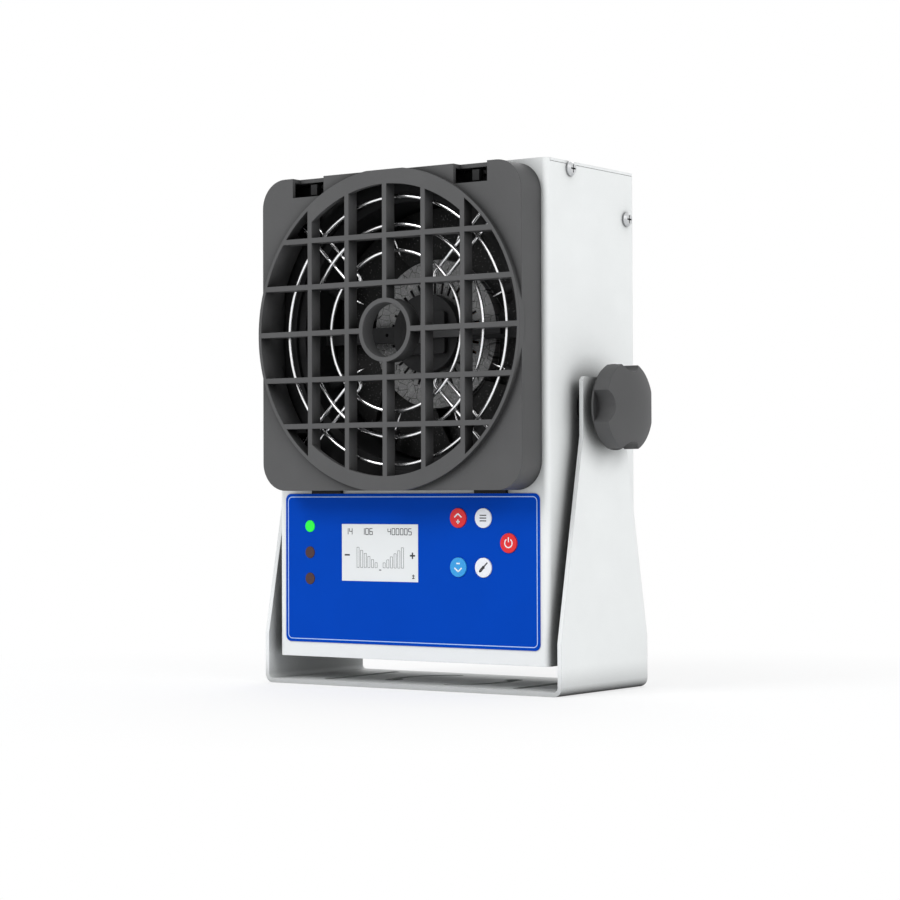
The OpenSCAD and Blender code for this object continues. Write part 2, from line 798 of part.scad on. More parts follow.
module fan_frame() {
    flange = 5;
    color([0.09, 0.09, 0.09]) difference() {
        union() {
            for (y = [emitter_back_y, fan_back_y - flange])
                sheet_y(y, y + flange, fan_z) rounded_square(fan_side, fan_side, 6);
            rod_y(fan_side / 2 - 0.5, emitter_back_y, fan_back_y, 0, fan_z);
        }
        difference() {
            rod_y(duct_r, emitter_back_y - 1, fan_back_y + 1, 0, fan_z);
            rod_y(stator_r + 3, spider_y, fan_back_y, 0, fan_z);
            for (turn = [45 : 90 : 315]) translate([0, 0, fan_z]) rotate([0, turn, 0])
                block(0, fan_side / 2, spider_y, fan_back_y, -3, 3);
        }
        at_bolts() rod_y(hole_r, emitter_back_y - 1, fan_back_y + 1);
    }
}

module fan_stator()
    color([0.55, 0.35, 0.2]) difference() {
        rod_y(stator_r, stator_y, spider_y, 0, fan_z);
        rod_y(bearing_r, stator_y - 1, spider_y + 1, 0, fan_z);
    }

module fan_bearings()
    color([0.75, 0.76, 0.77])
        for (y = [stator_y + 0.5, spider_y - bearing_len - 0.5]) difference() {
            rod_y(bearing_r, y, y + bearing_len, 0, fan_z);
            rod_y(shaft_r + running_clear, y - 1, y + bearing_len + 1, 0, fan_z);
        }

// A blade is a strip of a cylinder's wall, tilted to its angle of attack
module blade() {
    mid_y = impeller_y + impeller_len / 2;
    translate([0, mid_y, 0]) rotate([blade_tilt, 0, 0]) translate([0, blade_camber, 0])
        difference() {
            rod_x(blade_camber + blade_t / 2, blade_root, duct_r);
            rod_x(blade_camber - blade_t / 2, blade_root - 1, duct_r + 1);
            block(0, duct_r + 2, 0, 2 * blade_camber, -2 * blade_camber, 2 * blade_camber);
        }
}

module fan_impeller() {
    inside_r = impeller_hub_r - cup_wall;
    color([0.45, 0.45, 0.45]) difference() {
        union() {
            rod_y(impeller_hub_r, impeller_y, impeller_y + impeller_len, 0, fan_z);
            intersection() {
                difference() {
                    rod_y(impeller_r, impeller_y + 1, impeller_y + impeller_len, 0, fan_z);
                    rod_y(impeller_hub_r - 0.5, impeller_y, impeller_y + impeller_len + 1, 0, fan_z);
                }
                union() for (k = [0 : blade_n - 1])
                    translate([0, 0, fan_z]) rotate([0, k * 360 / blade_n, 0]) blade();
            }
        }
        rod_y(inside_r, impeller_y + cup_front, impeller_y + impeller_len + 1, 0, fan_z);
        rod_y(shaft_r, impeller_y - 1, impeller_y + cup_front + 1, 0, fan_z);
        translate([0, 0, fan_z]) for (k = [0 : vent_n - 1]) rotate([0, k * 360 / vent_n, 0])
            block(hub_r + 0.5, hub_r + 6.5, impeller_y - 1, impeller_y + cup_front + 1, -0.6, 0.6);
    }
}

module fan_rotor_ring()
    color([0.4, 0.4, 0.42]) difference() {
        rod_y(impeller_hub_r - cup_wall, stator_y, impeller_y + impeller_len - 1, 0, fan_z);
        rod_y(stator_r + 0.6, stator_y - 1, impeller_y + impeller_len + 1, 0, fan_z);
    }

module fan_shaft()
    color([0.75, 0.76, 0.77]) rod_y(shaft_r, impeller_y, shaft_back_y, 0, fan_z);

module intake_ring()
    color([0.1, 0.1, 0.1]) duct_frame(fan_back_y, intake_back_y, 6, duct_r);

// ---------- rear filter ----------

module filter_base() {
    color([0.1, 0.1, 0.1]) difference() {
        sheet_y(rear_y, rear_y + filter_base_t, fan_z)
            rounded_square(filter_side, filter_side, 5);
        difference() {
            rod_y(duct_r, rear_y - 1, rear_y + filter_base_t + 1, 0, fan_z);
            for (r = [12 : 11 : 45]) difference() {
                rod_y(r + 1.1, rear_y, rear_y + 2, 0, fan_z);
                rod_y(r - 1.1, rear_y - 1, rear_y + 3, 0, fan_z);
            }
            for (turn = [0 : 45 : 315]) translate([0, 0, fan_z]) rotate([0, turn, 0])
                block(11.5, duct_r + 2, rear_y, rear_y + 2, -1.1, 1.1);
        }
        at_bolts() rod_y(hole_r, rear_y - 1, rear_y + filter_base_t + 1);
    }
}

module filter_foam()
    color([0.2, 0.2, 0.21]) difference() {
        sheet_y(cover_inner_y - foam_t, cover_inner_y, fan_z)
            rounded_square(filter_side - 6, filter_side - 6, 3);
        at_bolts() rod_y(screw_r * 2 + 0.6, cover_inner_y - foam_t - 1, cover_inner_y + 1);
    }

module filter_cover() {
    y0 = rear_y + filter_base_t;
    y1 = y0 + filter_cover_d;
    wall = cover_wall;
    slats = 11;
    window = 104;
    step = window / slats;
    color([0.1, 0.1, 0.1]) difference() {
        sheet_y(y0, y1, fan_z) rounded_square(filter_side, filter_side, 5);
        sheet_y(y0 - 1, y1 - wall, fan_z)
            rounded_square(filter_side - 2 * wall, filter_side - 2 * wall, 3);
        for (k = [0 : slats - 1], side = [-1, 1])
            block(side == 1 ? 1.5 : -window / 2, side == 1 ? window / 2 : -1.5, y1 - wall - 1,
                y1 + 1, fan_z - window / 2 + k * step + 1, fan_z - window / 2 + (k + 1) * step - 1);
    }
}

module filter_screws()
    color([0.75, 0.76, 0.77]) at_bolts() {
        rod_y(screw_r, fan_back_y - 12, rear_y + filter_base_t);
        translate([0, rear_y + filter_base_t, 0]) rotate([-90, 0, 0])
            pan_head(screw_r * 2, 2.6);
    }

// ---------- panel ----------

module panel_film()
    color([0, 0.27, 0.73]) difference() {
        sheet_y(front_y - film_t, front_y, film_z) rounded_square(film_w, film_h, 2.8);
        sheet_y(front_y - 1, front_y + 1, lcd_z, lcd_x) square([lcd_w, lcd_h], center = true);
        for (key = keys) rod_y(key_r + key_clear, front_y - 1, front_y + 1, key[0], key[1]);
        for (k = [-1 : 1])
            rod_y(lamp_r + 0.1, front_y - 1, front_y + 1, lamp_x, lamp_z + k * lamp_pitch);
    }

module lcd_window()
    color([0.85, 0.87, 0.87, 0.4]) sheet_y(front_y - film_t, front_y, lcd_z, lcd_x)
        square([lcd_w - 0.1, lcd_h - 0.1], center = true);

module lcd_module()
    color([0.8, 0.82, 0.82]) {
        sheet_y(front_y, front_y + 2, lcd_z, lcd_x) square([lcd_w, lcd_h], center = true);
        sheet_y(front_y + 2, board_y, lcd_z, lcd_x)
            square([lcd_w + 8, lcd_h + 8], center = true);
    }

module control_board()
    color([0.05, 0.35, 0.2]) {
        difference() {
            sheet_y(board_y, board_y + board_t, board_z)
                square([board_w, board_h], center = true);
            for (x = [-post_x, post_x], z = [-post_z, post_z])
                rod_y(1.6, board_y - 1, board_y + board_t + 1, x, board_z + z);
        }
        for (x = [-30, 0, 34]) sheet_y(board_y + board_t, board_y + board_t + 3, board_z, x)
            square([14, 18], center = true);
    }

module board_posts()
    color([0.75, 0.76, 0.77]) for (x = [-post_x, post_x], z = [-post_z, post_z]) {
        rod_y(3, panel_back_y, board_y, x, board_z + z);
        rod_y(1.5, board_y, board_y + board_t + 1.5, x, board_z + z);
    }

module key_cap(place, shade) {
    color(shade) {
        rod_y(key_r, front_y - film_t - key_rise, key_back_y, place[0], place[1]);
        rod_y(key_r + 0.9, key_skirt_y, key_back_y, place[0], place[1]);
    }
}

module key_up() key_cap(keys[0], [0.8, 0.1, 0.12]);
module key_menu() key_cap(keys[1], [0.93, 0.94, 0.95]);
module key_power() key_cap(keys[2], [0.8, 0.1, 0.12]);
module key_down() key_cap(keys[3], [0.3, 0.62, 0.9]);
module key_brush() key_cap(keys[4], [0.93, 0.94, 0.95]);

module key_switches()
    color([0.15, 0.15, 0.15]) for (key = keys) {
        rod_y(1.7, key_back_y + key_travel + 0.05, key_back_y + 2, key[0], key[1]);
        block(key[0] - 3.1, key[0] + 3.1, key_back_y + 1.5, board_y, key[1] - 3.1, key[1] + 3.1);
    }

module lamp(k, shade) {
    z = lamp_z + k * lamp_pitch;
    color(shade) {
        rod_y(lamp_r, front_y - film_t - 0.2, board_y, lamp_x, z);
        rod_y(lamp_r + 0.8, panel_back_y + 0.1, panel_back_y + 1, lamp_x, z);
    }
}

module lamp_green() lamp(1, [0.1, 0.7, 0.25]);
module lamp_red_upper() lamp(0, [0.4, 0.06, 0.08]);
module lamp_red_lower() lamp(-1, [0.4, 0.06, 0.08]);

// ---------- electronics and rear fittings ----------

module high_voltage_supply()
    color([0.12, 0.12, 0.13]) {
        block(-45, 45, front_y + 14, front_y + 40, bottom_z + 0.5 + sheet_t, bottom_z + 46);
        for (x = [-20, 20]) translate([x, front_y + 27, bottom_z + 46])
            cylinder(r = 3, h = 5);
    }

module mains_inlet() {
    cavity_w = 24.6;
    cavity_h = 16.8;
    color([0.06, 0.06, 0.06]) difference() {
        union() {
            sheet_y(rear_y, rear_y + 2, fitting_z, inlet_x)
                rounded_square(inlet_w + 4, inlet_h + 3, 1.5);
            sheet_y(rear_y - 20, rear_y, fitting_z, inlet_x)
                square([inlet_w, inlet_h], center = true);
        }
        sheet_y(rear_y - 15, rear_y + 3, fitting_z, inlet_x)
            polygon([[-cavity_w / 2, -cavity_h / 2], [cavity_w / 2, -cavity_h / 2],
                [cavity_w / 2, cavity_h / 2 - 4], [cavity_w / 2 - 4, cavity_h / 2],
                [4 - cavity_w / 2, cavity_h / 2], [-cavity_w / 2, cavity_h / 2 - 4]]);
    }
}

module inlet_pins()
    color([0.8, 0.8, 0.82]) for (place = [[-7, -1.5], [0, 1.5], [7, -1.5]])
        sheet_y(rear_y - 15, rear_y - 4, fitting_z + place[1], inlet_x + place[0])
            square([2, 4], center = true);

module switch_bezel()
    color([0.06, 0.06, 0.06]) difference() {
        union() {
            sheet_y(rear_y, rear_y + 1.8, fitting_z, switch_x)
                rounded_square(switch_w + 3, switch_h + 2.6, 1);
            sheet_y(rear_y - 14, rear_y, fitting_z, switch_x)
                square([switch_w, switch_h], center = true);
        }
        sheet_y(rear_y - 8, rear_y + 3, fitting_z, switch_x)
            square([switch_w - 3, switch_h - 2.6], center = true);
        rocker_pin(0.95, switch_h / 2 - 0.3);
    }

module rocker_pin(r, reach)
    translate([switch_x, rear_y - 1.5, fitting_z - reach]) cylinder(r = r, h = 2 * reach);

// The rocker is a fat disc segment with a shallow V face, tipped to its rest side
module switch_rocker() {
    rocker_w = switch_w - 3.6;
    rocker_h = switch_h - 3.4;
    color([0.08, 0.08, 0.08]) {
        rocker_pin(0.9, switch_h / 2 - 0.4);
        translate([switch_x, rear_y - 1.5, fitting_z]) rotate([0, 0, rocker_rest])
            translate([0, 0, -rocker_h / 2]) linear_extrude(rocker_h)
                polygon([[-rocker_w / 2 + 1, -2], [rocker_w / 2 - 1, -2],
                    [rocker_w / 2 - 0.3, 3.4], [0, 2.4], [0.3 - rocker_w / 2, 3.4]]);
    }
}

// Threaded stud with a hexagonal nut on each side of the panel
module ground_stud()
    color([0.78, 0.6, 0.25]) {
        rod_y(ground_r, rear_y - 9, rear_y + 11, stud_x, fitting_z);
        rod_y(5.5, rear_y, rear_y + 1, stud_x, fitting_z);
        sheet_y(rear_y + 1, rear_y + 4.5, fitting_z, stud_x) circle(r = 4.6, $fn = 6);
        sheet_y(rear_y - sheet_t - 3.5, rear_y - sheet_t, fitting_z, stud_x)
            circle(r = 4.6, $fn = 6);
    }

yoke();
knob_left();
knob_right();
stud_left();
stud_right();
knob_washers();
tilt_spacers();
pivot_nuts();
front_shell();
rear_shell();
side_screws();
front_grille();
grille_base();
wire_guard();
guard_screws();
emitter_frame();
emitter_needles();
brush_motor();
brush_arm();
brush_tuft();
fan_frame();
fan_stator();
fan_bearings();
fan_impeller();
fan_rotor_ring();
fan_shaft();
intake_ring();
filter_base();
filter_foam();
filter_cover();
filter_screws();
panel_film();
lcd_window();
lcd_module();
control_board();
board_posts();
key_up();
key_menu();
key_power();
key_down();
key_brush();
key_switches();
lamp_green();
lamp_red_upper();
lamp_red_lower();
high_voltage_supply();
mains_inlet();
inlet_pins();
switch_bezel();
switch_rocker();
ground_stud();
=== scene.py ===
# %% [markdown]
# # A benchtop ionizing blower
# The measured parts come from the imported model, which is loaded as a frame: every
# part is already in its place and in metres. This lesson gives those parts their
# finishes and adds the printed panel. +X is the viewer's right, the outlet faces -Y
# and the bench is at Z = 0.

# %% Load the measured frame
import math
import bpy
from mathutils import Matrix, Vector


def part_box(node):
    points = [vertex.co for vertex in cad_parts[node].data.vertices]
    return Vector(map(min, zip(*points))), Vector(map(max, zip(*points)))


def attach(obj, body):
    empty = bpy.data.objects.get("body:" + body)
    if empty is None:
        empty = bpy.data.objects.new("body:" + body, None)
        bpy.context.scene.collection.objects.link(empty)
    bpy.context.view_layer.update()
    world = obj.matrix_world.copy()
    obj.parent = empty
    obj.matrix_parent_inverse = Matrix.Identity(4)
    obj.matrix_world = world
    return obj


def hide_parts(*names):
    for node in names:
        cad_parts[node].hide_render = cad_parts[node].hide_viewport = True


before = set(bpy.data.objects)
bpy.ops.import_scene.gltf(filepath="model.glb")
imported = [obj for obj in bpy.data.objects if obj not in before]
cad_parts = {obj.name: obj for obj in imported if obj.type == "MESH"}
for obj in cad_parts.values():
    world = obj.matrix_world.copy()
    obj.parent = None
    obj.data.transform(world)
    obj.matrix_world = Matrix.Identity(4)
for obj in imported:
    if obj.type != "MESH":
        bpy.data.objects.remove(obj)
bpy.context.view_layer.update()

# %% [markdown]
# The camera stands to the right and a little below the middle of the outlet, far off
# with a long lens, so that upright edges stay upright. Its three directions are
# written as a matrix, because a camera looks along its own -Z.

# %% Camera
CAMERA_PLACE = Vector((0.634757, -0.907518, 0.086492))
CAMERA_RIGHT = Vector((0.81871182, 0.57419524, -0.00328367))
CAMERA_UP = Vector((0.01228594, -0.0117999, 0.9998549))
CAMERA_BACK = Vector((0.57407318, -0.81863337, -0.01671525))
turn = Matrix((CAMERA_RIGHT, CAMERA_UP, CAMERA_BACK)).transposed()
camera_data = bpy.data.cameras.new("camera")
camera_data.lens = 98.674
camera_data.sensor_width = 36.0
camera_data.clip_end = 50.0
camera = bpy.data.objects.new("camera", camera_data)
camera.matrix_world = Matrix.Translation(CAMERA_PLACE) @ turn.to_4x4()
bpy.context.scene.collection.objects.link(camera)
bpy.context.scene.camera = camera
print("camera", round(CAMERA_PLACE.length, 3), "m from the origin")

# %% [markdown]
# A pale studio: the world is white where the camera, a mirror or glass looks at it,
# and a softer grey where it only lights the scene.

# %% World
scene = bpy.context.scene
scene.view_settings.view_transform = "Standard"
world = bpy.data.worlds.new("studio")
scene.world = world
world.use_nodes = True
world_nodes = world.node_tree.nodes
world_links = world.node_tree.links
world_nodes.clear()
sees = world_nodes.new("ShaderNodeLightPath")
either = world_nodes.new("ShaderNodeMath")
either.operation = "MAXIMUM"
world_links.new(sees.outputs["Is Camera Ray"], either.inputs[0])
world_links.new(sees.outputs["Is Glossy Ray"], either.inputs[1])
any_view = world_nodes.new("ShaderNodeMath")
any_view.operation = "MAXIMUM"
world_links.new(either.outputs[0], any_view.inputs[0])
world_links.new(sees.outputs["Is Transmission Ray"], any_view.inputs[1])
shown = world_nodes.new("ShaderNodeBackground")
shown.inputs["Color"].default_value = (1, 1, 1, 1)
shown.inputs["Strength"].default_value = 1.0
lighting = world_nodes.new("ShaderNodeBackground")
lighting.inputs["Color"].default_value = (0.97, 0.985, 1.0, 1)
lighting.inputs["Strength"].default_value = 0.6
pick = world_nodes.new("ShaderNodeMixShader")
world_links.new(any_view.outputs[0], pick.inputs[0])
world_links.new(lighting.outputs[0], pick.inputs[1])
world_links.new(shown.outputs[0], pick.inputs[2])
world_out = world_nodes.new("ShaderNodeOutputWorld")
world_links.new(pick.outputs[0], world_out.inputs[0])
print("world nodes:", len(world_nodes))

# %% [markdown]
# Three large soft lamps give the sheet steel its gentle shading: one from the front
# left, one from the right and one from behind. They are kept low enough that white
# paint stays below pure white.


# %% Lamps
def soft_lamp(name, place, aim, size, power):
    lamp = bpy.data.lights.new(name, "AREA")
    lamp.shape = "SQUARE"
    lamp.size = size
    lamp.energy = power
    holder = bpy.data.objects.new(name, lamp)
    holder.location = place
    holder.rotation_euler = (Vector(aim) - Vector(place)).to_track_quat("-Z", "Y").to_euler()
    scene.collection.objects.link(holder)


MIDDLE = (0.0, 0.0, 0.12)
soft_lamp("key", (-0.9, -1.9, 1.6), MIDDLE, 1.0, 24.0)
soft_lamp("side", (2.0, -0.5, 1.1), MIDDLE, 1.2, 15.0)
soft_lamp("back", (-1.0, 1.9, 1.5), MIDDLE, 1.5, 16.0)

# %% [markdown]
# The floor is one large plane. It keeps a soft shadow round the yoke and fades to plain
# white further out, so that no horizon shows.

# %% Floor
bpy.ops.object.select_all(action="DESELECT")
bpy.ops.mesh.primitive_plane_add(size=16.0, location=(0, 0, 0))
floor = bpy.context.object
floor.name = "floor"
floor_paint = bpy.data.materials.new("pale_floor")
floor_paint.use_nodes = True
paint_nodes, paint_links = floor_paint.node_tree.nodes, floor_paint.node_tree.links
floor_shader = paint_nodes["Principled BSDF"]
floor_shader.inputs["Base Color"].default_value = (0.95, 0.95, 0.95, 1)
floor_shader.inputs["Roughness"].default_value = 0.9
floor_shader.inputs["Specular IOR Level"].default_value = 0.1
floor_place = paint_nodes.new("ShaderNodeTexCoord")
floor_far = paint_nodes.new("ShaderNodeVectorMath")
floor_far.operation = "LENGTH"
paint_links.new(floor_place.outputs["Object"], floor_far.inputs[0])
fade = paint_nodes.new("ShaderNodeMapRange")
fade.inputs["From Min"].default_value = 0.06
fade.inputs["From Max"].default_value = 0.3
fade.inputs["To Min"].default_value = 0.6
fade.inputs["To Max"].default_value = 1.0
paint_links.new(floor_far.outputs["Value"], fade.inputs["Value"])
floor_seen = paint_nodes.new("ShaderNodeLightPath")
seen_fade = paint_nodes.new("ShaderNodeMath")
seen_fade.operation = "MULTIPLY"
paint_links.new(fade.outputs["Result"], seen_fade.inputs[0])
paint_links.new(floor_seen.outputs["Is Camera Ray"], seen_fade.inputs[1])
floor_white = paint_nodes.new("ShaderNodeEmission")
floor_white.inputs["Strength"].default_value = 1.0
floor_mix = paint_nodes.new("ShaderNodeMixShader")
paint_links.new(seen_fade.outputs[0], floor_mix.inputs[0])
paint_links.new(floor_shader.outputs[0], floor_mix.inputs[1])
paint_links.new(floor_white.outputs[0], floor_mix.inputs[2])
paint_links.new(floor_mix.outputs[0], paint_nodes["Material Output"].inputs[0])
floor.data.materials.append(floor_paint)
print("floor:", [round(v, 2) for v in floor.dimensions])

# %% [markdown]
# ## Finishes
# Each finish is a Principled shader with three small additions read from Object
# coordinates: a slow change of colour, a change of roughness, and a fine grain as
# bump. A Bevel node softens the hard CAD edges in the light, as the small radius of
# a real bend or moulding does.


# %% Helper for a finish
def finish(name, colour, rough, metal=0.0, tint=0.06, grain=900.0, depth=0.00002,
           strength=0.25, edge=0.0003, spread=0.08, specular=0.5):
    mat = bpy.data.materials.new(name)
    mat.use_nodes = True
    nodes, links = mat.node_tree.nodes, mat.node_tree.links
    shader = nodes["Principled BSDF"]
    shader.inputs["Metallic"].default_value = metal
    shader.inputs["Specular IOR Level"].default_value = specular
    where = nodes.new("ShaderNodeTexCoord")
    cloud = nodes.new("ShaderNodeTexNoise")
    cloud.inputs["Scale"].default_value = 35.0
    cloud.inputs["Detail"].default_value = 4.0
    links.new(where.outputs["Object"], cloud.inputs["Vector"])
    ramp = nodes.new("ShaderNodeValToRGB")
    ramp.color_ramp.elements[0].position = 0.35
    ramp.color_ramp.elements[1].position = 0.65
    ramp.color_ramp.elements[0].color = [c * (1 - tint) for c in colour] + [1]
    ramp.color_ramp.elements[1].color = [min(1, c * (1 + tint)) for c in colour] + [1]
    links.new(cloud.outputs["Fac"], ramp.inputs["Fac"])
    links.new(ramp.outputs["Color"], shader.inputs["Base Color"])
    shine = nodes.new("ShaderNodeMapRange")
    shine.inputs["To Min"].default_value = max(0.02, rough - spread)
    shine.inputs["To Max"].default_value = min(1.0, rough + spread)
    links.new(cloud.outputs["Fac"], shine.inputs["Value"])
    links.new(shine.outputs["Result"], shader.inputs["Roughness"])
    fine = nodes.new("ShaderNodeTexNoise")
    fine.inputs["Scale"].default_value = grain
    fine.inputs["Detail"].default_value = 3.0
    links.new(where.outputs["Object"], fine.inputs["Vector"])
    bump = nodes.new("ShaderNodeBump")
    bump.inputs["Strength"].default_value = strength
    bump.inputs["Distance"].default_value = depth
    links.new(fine.outputs["Fac"], bump.inputs["Height"])
    if edge:
        soften = nodes.new("ShaderNodeBevel")
        soften.samples = 4
        soften.inputs["Radius"].default_value = edge
        links.new(soften.outputs["Normal"], bump.inputs["Normal"])
    links.new(bump.outputs["Normal"], shader.inputs["Normal"])
    return mat


def dress(mat, *nodes):
    for name in nodes:
        mesh_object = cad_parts[name]
        if not mesh_object.data.materials:
            mesh_object.data.materials.append(mat)
        for place in mesh_object.material_slots:
            place.material = mat
    print(mat.name, "->", ", ".join(nodes))


# %% [markdown]
# Narrow gaps and deep corners get less light. Ambient occlusion paints that shade
# into the colour there: distance says how far it looks, and the power how deep the
# painted shade gets.


# %% Helper for shaded gaps
def shade_gaps(mat, distance, power):
    nodes, links = mat.node_tree.nodes, mat.node_tree.links
    colour = nodes["Principled BSDF"].inputs["Base Color"]
    base = colour.links[0].from_socket
    open_sky = nodes.new("ShaderNodeAmbientOcclusion")
    open_sky.samples = 8
    open_sky.inputs["Distance"].default_value = distance
    deepen = nodes.new("ShaderNodeMath")
    deepen.operation = "POWER"
    deepen.inputs[1].default_value = power
    links.new(open_sky.outputs["AO"], deepen.inputs[0])
    darker = nodes.new("ShaderNodeMix")
    darker.data_type = "RGBA"
    darker.blend_type = "MULTIPLY"
    darker.inputs["Factor"].default_value = 1.0
    links.new(base, darker.inputs["A"])
    links.new(deepen.outputs[0], darker.inputs["B"])
    links.new(darker.outputs["Result"], colour)
    print(mat.name, "shaded within", distance, "m")


# %% [markdown]
# The housing and the yoke are folded steel with a near-white powder coat. Powder
# coat shows a fine orange-peel texture, a satin sheen and hardly any colour change.

# %% Powder coat
powder = finish("powder_coat", (0.83, 0.845, 0.84), 0.55, tint=0.015, grain=1100.0,
                depth=0.0002, strength=0.4, edge=0.0004, specular=0.25)
# Painted shade in the narrow gaps and corners of the steel.
shade_gaps(powder, 0.013, 0.9)
dress(powder, "yoke", "front_shell", "rear_shell")

# %% [markdown]
# The push-on grille and the knobs are dark grey moulded plastic with a fine spark
# eroded grain. The parts deeper inside are the same kind of plastic in black.

# %% Moulded plastics
grey_plastic = finish("grey_plastic", (0.091, 0.091, 0.092), 0.6, tint=0.05, grain=1500.0,
                      depth=0.0001, strength=0.35, edge=0.0004, specular=0.2)
# Painted shade in the grille's deep openings and corners.
shade_gaps(grey_plastic, 0.011, 1.5)
dress(grey_plastic, "front_grille", "knob_left", "knob_right")
black_plastic = finish("black_plastic", (0.014, 0.014, 0.015), 0.55, tint=0.08, grain=1600.0,
                       depth=0.00005, edge=0.0003, specular=0.25)
# Painted shade in the corners of the black parts.
shade_gaps(black_plastic, 0.01, 1.5)
dress(black_plastic, "grille_base", "intake_ring", "fan_frame", "filter_base", "filter_cover",
      "mains_inlet", "switch_bezel", "switch_rocker", "tilt_spacers", "key_switches",
      "high_voltage_supply", "brush_tuft")
frame_plastic = finish("frame_plastic", (0.018, 0.018, 0.019), 0.55, tint=0.1, grain=1500.0,
                       depth=0.00005, specular=0.25)
dress(frame_plastic, "emitter_frame", "brush_motor")
lever_plastic = finish("lever_plastic", (0.045, 0.045, 0.047), 0.5)
dress(lever_plastic, "brush_arm")

# %% [markdown]
# The impeller is glass filled plastic. Its hub is pale and mottled, with fine dark
# lines in a cracked pattern, and the blades are nearly black with sparse pale
# flecks. Both patterns are laid out round the fan's axis: the distance from the axis
# picks hub or blade, and angle and distance together drive the dark lines.

# %% Fan plastic
fan_plastic = finish("fan_plastic", (0.24, 0.24, 0.24), 0.6, tint=0.3, grain=900.0,
                     depth=0.0001, strength=0.4, specular=0.2)
fan_nodes, fan_links = fan_plastic.node_tree.nodes, fan_plastic.node_tree.links
fan_colour = fan_nodes["Principled BSDF"].inputs["Base Color"]
FAN_Z = sum(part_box("fan_shaft")[k][2] for k in (0, 1)) / 2
HUB_R = 0.0335


def fan_math(operation, first, second):
    node = fan_nodes.new("ShaderNodeMath")
    node.operation = operation
    for socket, value in zip(node.inputs, (first, second)):
        if isinstance(value, (int, float)):
            socket.default_value = value
        else:
            fan_links.new(value, socket)
    return node.outputs[0]


def fan_mix(factor, first, second):
    node = fan_nodes.new("ShaderNodeMix")
    node.data_type = "RGBA"
    fan_links.new(factor, node.inputs["Factor"])
    for socket, value in ((node.inputs["A"], first), (node.inputs["B"], second)):
        if isinstance(value, tuple):
            socket.default_value = value
        else:
            fan_links.new(value, socket)
    return node.outputs["Result"]


fan_place = fan_nodes.new("ShaderNodeTexCoord")
fan_axes = fan_nodes.new("ShaderNodeSeparateXYZ")
fan_links.new(fan_place.outputs["Object"], fan_axes.inputs[0])
across = fan_axes.outputs["X"]
up = fan_math("SUBTRACT", fan_axes.outputs["Z"], FAN_Z)
squares = fan_math("ADD", fan_math("MULTIPLY", across, across), fan_math("MULTIPLY", up, up))
radius = fan_math("SQRT", squares, 0)
angle = fan_math("ARCTAN2", up, across)
polar = fan_nodes.new("ShaderNodeCombineXYZ")
fan_links.new(fan_math("MULTIPLY", angle, 5.0), polar.inputs[0])
fan_links.new(fan_math("MULTIPLY", radius, 110.0), polar.inputs[1])
line_cells = fan_nodes.new("ShaderNodeTexVoronoi")
line_cells.feature = "DISTANCE_TO_EDGE"
line_cells.inputs["Scale"].default_value = 1.8
fan_links.new(polar.outputs[0], line_cells.inputs["Vector"])
dark_hub_lines = fan_math("MULTIPLY", fan_math("LESS_THAN", line_cells.outputs["Distance"], 0.022), 0.8)
flecks = fan_nodes.new("ShaderNodeTexNoise")
flecks.inputs["Scale"].default_value = 1300.0
fan_links.new(fan_place.outputs["Object"], flecks.inputs["Vector"])
fleck_hub = fan_math("GREATER_THAN", flecks.outputs["Fac"], 0.6)
fleck_blade = fan_math("GREATER_THAN", flecks.outputs["Fac"], 0.66)
hub_face = fan_mix(fleck_hub, fan_colour.links[0].from_socket, (0.4, 0.4, 0.4, 1))
hub_face = fan_mix(dark_hub_lines, hub_face, (0.02, 0.02, 0.02, 1))
blade_face = fan_mix(fleck_blade, (0.012, 0.012, 0.012, 1), (0.11, 0.11, 0.11, 1))
is_blade = fan_math("GREATER_THAN", radius, HUB_R)
fan_links.new(fan_mix(is_blade, hub_face, blade_face), fan_colour)
# Painted shade in the impeller's hollows.
shade_gaps(fan_plastic, 0.008, 1.2)
dress(fan_plastic, "fan_impeller")

# %% [markdown]
# Bare metals: bright chrome on the guard and needles, zinc on screws and washers,
# brass on the ground stud and copper in the motor. Metals take their look from what
# they reflect, so only roughness and a faint tint vary.

# %% Metals
chrome = finish("bright_chrome", (0.95, 0.95, 0.96), 0.24, metal=1.0, tint=0.03, spread=0.04,
                depth=0.000005, edge=0.0)
dress(chrome, "wire_guard", "emitter_needles")
zinc = finish("zinc_plate", (0.62, 0.63, 0.64), 0.32, metal=1.0, tint=0.06, edge=0.0002)
# Painted shade round the screw heads and washers.
shade_gaps(zinc, 0.004, 1.2)
dress(zinc, "side_screws", "guard_screws", "filter_screws", "knob_washers", "stud_left",
      "stud_right", "pivot_nuts", "fan_bearings", "fan_shaft", "fan_rotor_ring",
      "board_posts", "inlet_pins")
brass = finish("brass", (0.72, 0.5, 0.2), 0.3, metal=1.0)
dress(brass, "ground_stud")
copper = finish("copper_winding", (0.6, 0.27, 0.12), 0.4, metal=1.0, tint=0.2, grain=400.0)
dress(copper, "fan_stator")

# %% [markdown]
# The panel is a printed film with a satin surface. The keys are small domes that
# show through it, and the lamps are clear moulded lenses. The lit lamp gets a little
# emission of its own.

